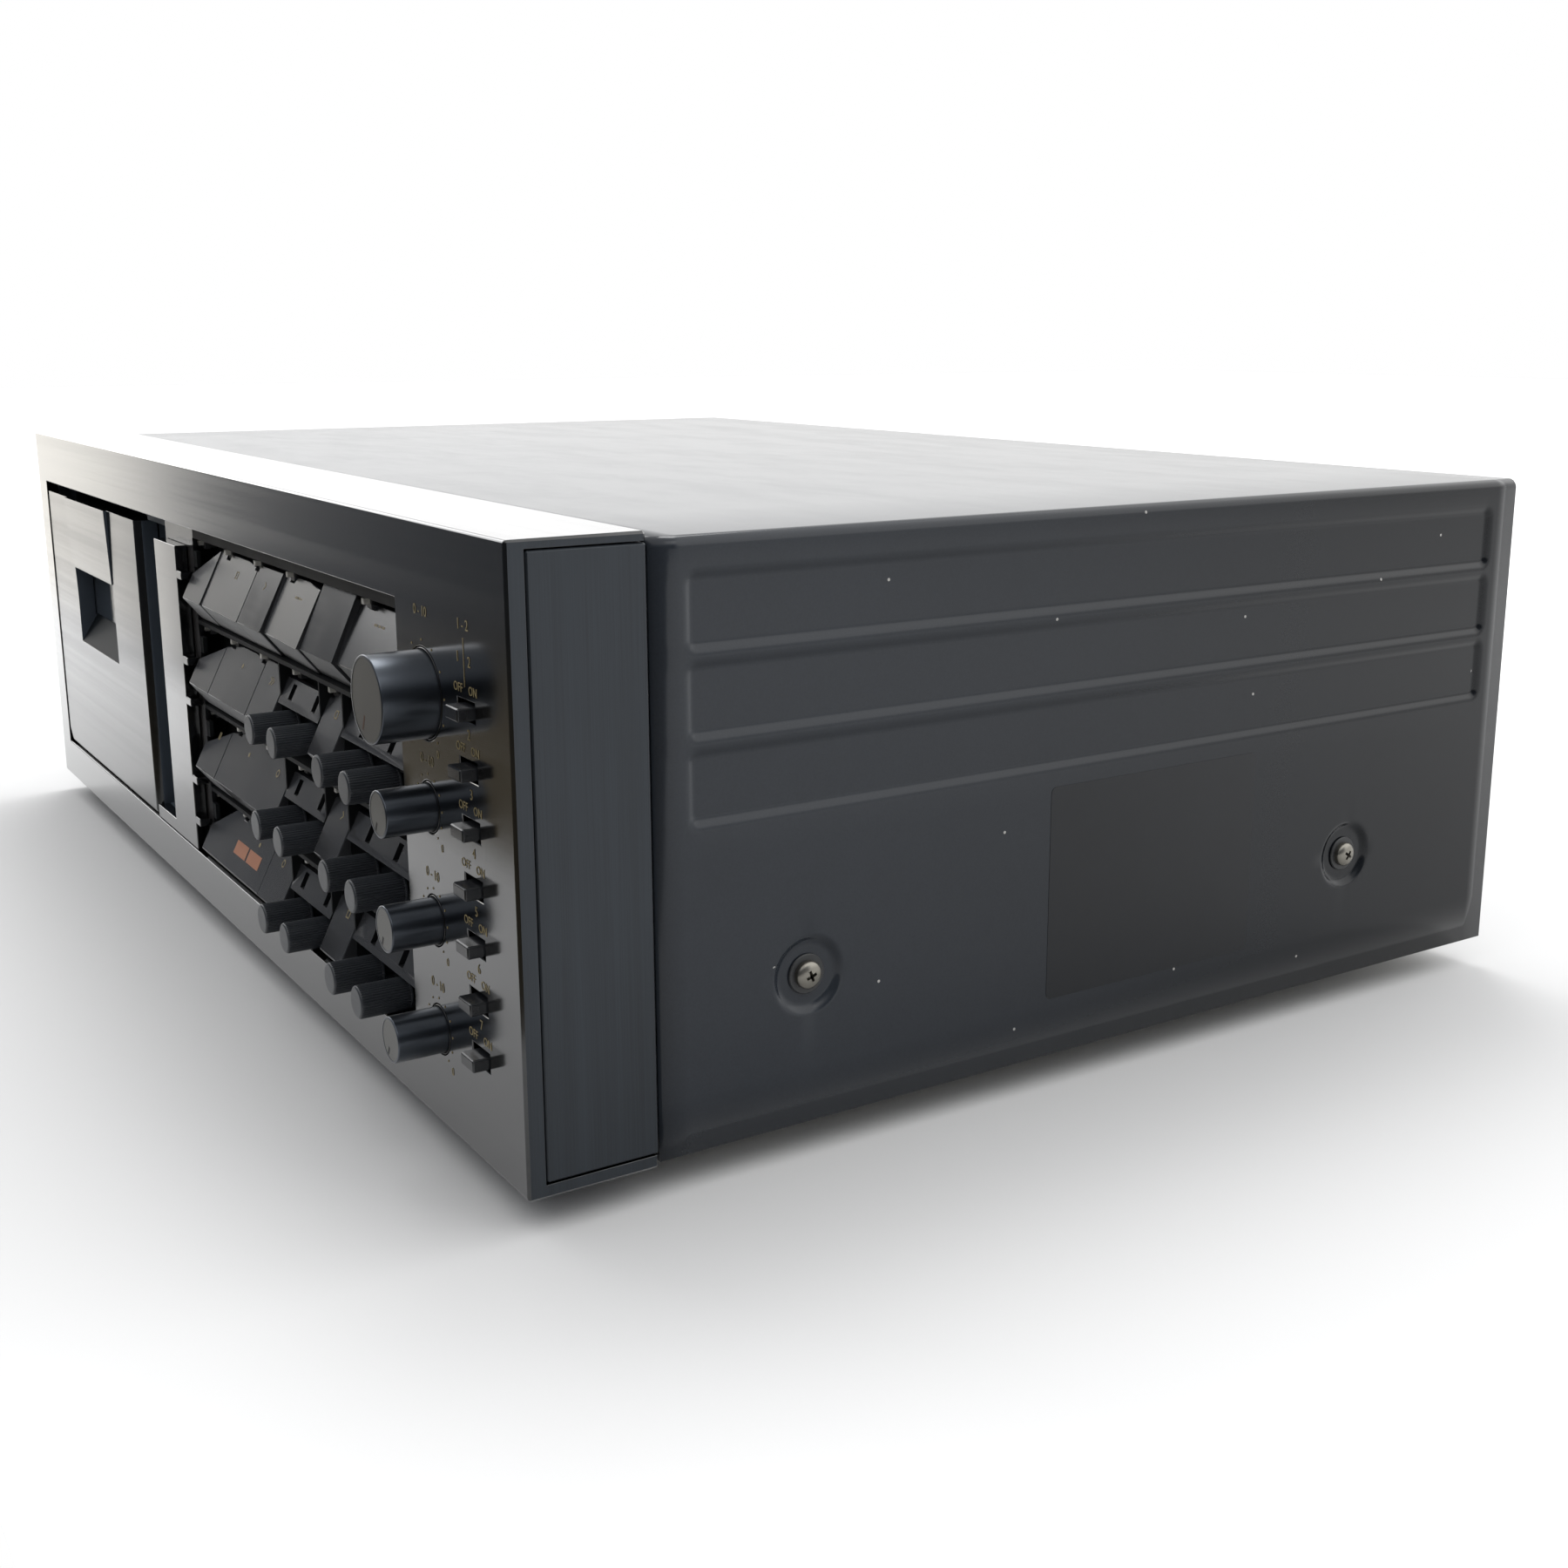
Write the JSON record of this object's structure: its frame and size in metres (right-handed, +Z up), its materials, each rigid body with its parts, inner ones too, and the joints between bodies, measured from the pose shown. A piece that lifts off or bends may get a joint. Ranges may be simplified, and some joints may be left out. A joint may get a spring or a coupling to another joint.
{
  "type": "cassette deck",
  "caption": "Front-loading cassette deck in a wide dark metal case: hinged cassette door, rows of sloped keys, ribbed trim knobs, round level knobs and small slide switches.",
  "frame": {"origin": "centre of the footprint of the whole object, knobs and sockets included, on the surface the feet stand on", "axes": "+X to the right seen from the front, +Y towards the back, +Z up; the front face looks along -Y"},
  "size_m": [0.45, 0.3222, 0.143],
  "materials": {
    "anodised_panel": "brushed black anodised",
    "anodised_cap": "brushed dark anodised",
    "cover_paint": "fine textured satin",
    "plated_steel": "zinc plated",
    "rear_paint": "satin",
    "foot_rubber": "matte",
    "housing_black": "matte",
    "strip_metal": "brushed black anodised",
    "door_metal": "brushed black anodised",
    "window_glass": "smoked clear",
    "lamp_plastic": "cream translucent",
    "key_plastic": "satin",
    "knob_metal": "satin black anodised",
    "trim_plastic": "satin, finely ribbed",
    "lever_plastic": "satin",
    "spindle_plastic": "satin",
    "head_metal": "polished",
    "transformer_core": "varnished laminations"
  },
  "bodies": {
    "deck": {"front_panel": "anodised_panel", "side_cap_left": "anodised_cap", "side_cap_right": "anodised_cap", "top_cover": "cover_paint", "chassis_tray": "plated_steel", "rear_panel": "rear_paint", "cord_gland": "housing_black", "foot_front_left": "foot_rubber", "foot_front_right": "foot_rubber", "foot_rear_left": "foot_rubber", "foot_rear_right": "foot_rubber", "cassette_well": "housing_black", "head_block": "head_metal", "comb_strip": "strip_metal", "key_bay": "housing_black", "lamp_board": "lamp_plastic", "transformer": "transformer_core"},
    "door": {"cassette_door": "door_metal", "door_window": "window_glass"},
    "key_1_1": {"key_1_1": "key_plastic"},
    "key_1_2": {"key_1_2": "key_plastic"},
    "key_1_3": {"key_1_3": "key_plastic"},
    "key_1_4": {"key_1_4": "key_plastic"},
    "key_1_5": {"key_1_5": "key_plastic"},
    "key_1_6": {"key_1_6": "key_plastic"},
    "key_2_1": {"key_2_1": "key_plastic"},
    "key_2_2": {"key_2_2": "key_plastic"},
    "key_2_3": {"key_2_3": "key_plastic"},
    "selector_key_2": {"selector_key_2": "key_plastic"},
    "key_3_1": {"key_3_1": "key_plastic"},
    "key_3_2": {"key_3_2": "key_plastic"},
    "selector_key_3": {"selector_key_3": "key_plastic"},
    "key_4_1": {"key_4_1": "key_plastic"},
    "key_4_2": {"key_4_2": "key_plastic"},
    "selector_key_4": {"selector_key_4": "key_plastic"},
    "trim_knob_2_1": {"trim_knob_2_1": "trim_plastic"},
    "trim_knob_2_2": {"trim_knob_2_2": "trim_plastic"},
    "trim_knob_2_3": {"trim_knob_2_3": "trim_plastic"},
    "trim_knob_2_4": {"trim_knob_2_4": "trim_plastic"},
    "trim_knob_3_1": {"trim_knob_3_1": "trim_plastic"},
    "trim_knob_3_2": {"trim_knob_3_2": "trim_plastic"},
    "trim_knob_3_3": {"trim_knob_3_3": "trim_plastic"},
    "trim_knob_3_4": {"trim_knob_3_4": "trim_plastic"},
    "trim_knob_4_1": {"trim_knob_4_1": "trim_plastic"},
    "trim_knob_4_2": {"trim_knob_4_2": "trim_plastic"},
    "trim_knob_4_3": {"trim_knob_4_3": "trim_plastic"},
    "trim_knob_4_4": {"trim_knob_4_4": "trim_plastic"},
    "master_knob": {"master_knob": "knob_metal"},
    "left_knob": {"left_knob": "knob_metal"},
    "right_knob": {"right_knob": "knob_metal"},
    "output_knob": {"output_knob": "knob_metal"},
    "switch_lever_1": {"switch_lever_1": "lever_plastic"},
    "switch_lever_2": {"switch_lever_2": "lever_plastic"},
    "switch_lever_3": {"switch_lever_3": "lever_plastic"},
    "switch_lever_4": {"switch_lever_4": "lever_plastic"},
    "switch_lever_5": {"switch_lever_5": "lever_plastic"},
    "switch_lever_6": {"switch_lever_6": "lever_plastic"},
    "switch_lever_7": {"switch_lever_7": "lever_plastic"},
    "reel_spindle_left": {"reel_spindle_left": "spindle_plastic"},
    "reel_spindle_right": {"reel_spindle_right": "spindle_plastic"}
  },
  "joints": [
    {"name": "door_hinge", "type": "hinge", "parent": "deck", "child": "door", "pos_m": [0, -0.14615, 0.0249], "axis": [1, 0, 0], "range_deg": [0, 25]},
    {"name": "key_1_1_press", "type": "slide", "parent": "deck", "child": "key_1_1", "axis": [0, 1, 0], "range_m": [0, 0.0015], "stiffness_N_per_m": 600},
    {"name": "key_1_2_press", "type": "slide", "parent": "deck", "child": "key_1_2", "axis": [0, 1, 0], "range_m": [0, 0.0015], "stiffness_N_per_m": 600},
    {"name": "key_1_3_press", "type": "slide", "parent": "deck", "child": "key_1_3", "axis": [0, 1, 0], "range_m": [0, 0.0015], "stiffness_N_per_m": 600},
    {"name": "key_1_4_press", "type": "slide", "parent": "deck", "child": "key_1_4", "axis": [0, 1, 0], "range_m": [0, 0.0015], "stiffness_N_per_m": 600},
    {"name": "key_1_5_press", "type": "slide", "parent": "deck", "child": "key_1_5", "axis": [0, 1, 0], "range_m": [0, 0.0015], "stiffness_N_per_m": 600},
    {"name": "key_1_6_press", "type": "slide", "parent": "deck", "child": "key_1_6", "axis": [0, 1, 0], "range_m": [0, 0.0015], "stiffness_N_per_m": 600},
    {"name": "key_2_1_press", "type": "slide", "parent": "deck", "child": "key_2_1", "axis": [0, 1, 0], "range_m": [0, 0.0015], "stiffness_N_per_m": 600},
    {"name": "key_2_2_press", "type": "slide", "parent": "deck", "child": "key_2_2", "axis": [0, 1, 0], "range_m": [0, 0.0015], "stiffness_N_per_m": 600},
    {"name": "key_2_3_press", "type": "slide", "parent": "deck", "child": "key_2_3", "axis": [0, 1, 0], "range_m": [0, 0.0015], "stiffness_N_per_m": 600},
    {"name": "selector_key_2_press", "type": "slide", "parent": "deck", "child": "selector_key_2", "axis": [0, 1, 0], "range_m": [0, 0.0015], "stiffness_N_per_m": 600},
    {"name": "key_3_1_press", "type": "slide", "parent": "deck", "child": "key_3_1", "axis": [0, 1, 0], "range_m": [0, 0.0015], "stiffness_N_per_m": 600},
    {"name": "key_3_2_press", "type": "slide", "parent": "deck", "child": "key_3_2", "axis": [0, 1, 0], "range_m": [0, 0.0015], "stiffness_N_per_m": 600},
    {"name": "selector_key_3_press", "type": "slide", "parent": "deck", "child": "selector_key_3", "axis": [0, 1, 0], "range_m": [0, 0.0015], "stiffness_N_per_m": 600},
    {"name": "key_4_1_press", "type": "slide", "parent": "deck", "child": "key_4_1", "axis": [0, 1, 0], "range_m": [0, 0.0015], "stiffness_N_per_m": 600},
    {"name": "key_4_2_press", "type": "slide", "parent": "deck", "child": "key_4_2", "axis": [0, 1, 0], "range_m": [0, 0.0015], "stiffness_N_per_m": 600},
    {"name": "selector_key_4_press", "type": "slide", "parent": "deck", "child": "selector_key_4", "axis": [0, 1, 0], "range_m": [0, 0.0015], "stiffness_N_per_m": 600},
    {"name": "trim_knob_2_1_turn", "type": "hinge", "parent": "deck", "child": "trim_knob_2_1", "pos_m": [0.06974, -0.14845, 0.0791], "axis": [0, 1, 0], "range_deg": [-135, 135]},
    {"name": "trim_knob_2_2_turn", "type": "hinge", "parent": "deck", "child": "trim_knob_2_2", "pos_m": [0.08894, -0.14845, 0.0791], "axis": [0, 1, 0], "range_deg": [-135, 135]},
    {"name": "trim_knob_2_3_turn", "type": "hinge", "parent": "deck", "child": "trim_knob_2_3", "pos_m": [0.12514, -0.14845, 0.0791], "axis": [0, 1, 0], "range_deg": [-135, 135]},
    {"name": "trim_knob_2_4_turn", "type": "hinge", "parent": "deck", "child": "trim_knob_2_4", "pos_m": [0.14434, -0.14845, 0.0791], "axis": [0, 1, 0], "range_deg": [-135, 135]},
    {"name": "trim_knob_3_1_turn", "type": "hinge", "parent": "deck", "child": "trim_knob_3_1", "pos_m": [0.06974, -0.14845, 0.0531], "axis": [0, 1, 0], "range_deg": [-135, 135]},
    {"name": "trim_knob_3_2_turn", "type": "hinge", "parent": "deck", "child": "trim_knob_3_2", "pos_m": [0.08894, -0.14845, 0.0531], "axis": [0, 1, 0], "range_deg": [-135, 135]},
    {"name": "trim_knob_3_3_turn", "type": "hinge", "parent": "deck", "child": "trim_knob_3_3", "pos_m": [0.12514, -0.14845, 0.0531], "axis": [0, 1, 0], "range_deg": [-135, 135]},
    {"name": "trim_knob_3_4_turn", "type": "hinge", "parent": "deck", "child": "trim_knob_3_4", "pos_m": [0.14434, -0.14845, 0.0531], "axis": [0, 1, 0], "range_deg": [-135, 135]},
    {"name": "trim_knob_4_1_turn", "type": "hinge", "parent": "deck", "child": "trim_knob_4_1", "pos_m": [0.06974, -0.14845, 0.0271], "axis": [0, 1, 0], "range_deg": [-135, 135]},
    {"name": "trim_knob_4_2_turn", "type": "hinge", "parent": "deck", "child": "trim_knob_4_2", "pos_m": [0.08894, -0.14845, 0.0271], "axis": [0, 1, 0], "range_deg": [-135, 135]},
    {"name": "trim_knob_4_3_turn", "type": "hinge", "parent": "deck", "child": "trim_knob_4_3", "pos_m": [0.12514, -0.14845, 0.0271], "axis": [0, 1, 0], "range_deg": [-135, 135]},
    {"name": "trim_knob_4_4_turn", "type": "hinge", "parent": "deck", "child": "trim_knob_4_4", "pos_m": [0.14434, -0.14845, 0.0271], "axis": [0, 1, 0], "range_deg": [-135, 135]},
    {"name": "master_knob_turn", "type": "hinge", "parent": "deck", "child": "master_knob", "pos_m": [0.18, -0.14845, 0.10629], "axis": [0, 1, 0], "range_deg": [0, 290]},
    {"name": "left_knob_turn", "type": "hinge", "parent": "deck", "child": "left_knob", "pos_m": [0.18, -0.14845, 0.08149], "axis": [0, 1, 0], "range_deg": [0, 290]},
    {"name": "right_knob_turn", "type": "hinge", "parent": "deck", "child": "right_knob", "pos_m": [0.18, -0.14845, 0.05601], "axis": [0, 1, 0], "range_deg": [0, 290]},
    {"name": "output_knob_turn", "type": "hinge", "parent": "deck", "child": "output_knob", "pos_m": [0.18, -0.14845, 0.0308], "axis": [0, 1, 0], "range_deg": [0, 290]},
    {"name": "switch_lever_1_slide", "type": "slide", "parent": "deck", "child": "switch_lever_1", "axis": [-1, 0, 0], "range_m": [0, 0.002]},
    {"name": "switch_lever_2_slide", "type": "slide", "parent": "deck", "child": "switch_lever_2", "axis": [-1, 0, 0], "range_m": [0, 0.002]},
    {"name": "switch_lever_3_slide", "type": "slide", "parent": "deck", "child": "switch_lever_3", "axis": [-1, 0, 0], "range_m": [0, 0.002]},
    {"name": "switch_lever_4_slide", "type": "slide", "parent": "deck", "child": "switch_lever_4", "axis": [-1, 0, 0], "range_m": [0, 0.002]},
    {"name": "switch_lever_5_slide", "type": "slide", "parent": "deck", "child": "switch_lever_5", "axis": [-1, 0, 0], "range_m": [0, 0.002]},
    {"name": "switch_lever_6_slide", "type": "slide", "parent": "deck", "child": "switch_lever_6", "axis": [-1, 0, 0], "range_m": [0, 0.002]},
    {"name": "switch_lever_7_slide", "type": "slide", "parent": "deck", "child": "switch_lever_7", "axis": [-1, 0, 0], "range_m": [0, 0.002]},
    {"name": "reel_spindle_left_spin", "type": "hinge", "parent": "deck", "child": "reel_spindle_left", "pos_m": [-0.1639, -0.12515, 0.0822], "axis": [0, 1, 0], "continuous": true},
    {"name": "reel_spindle_right_spin", "type": "hinge", "parent": "deck", "child": "reel_spindle_right", "pos_m": [-0.1214, -0.12515, 0.0822], "axis": [0, 1, 0], "continuous": true}
  ]
}
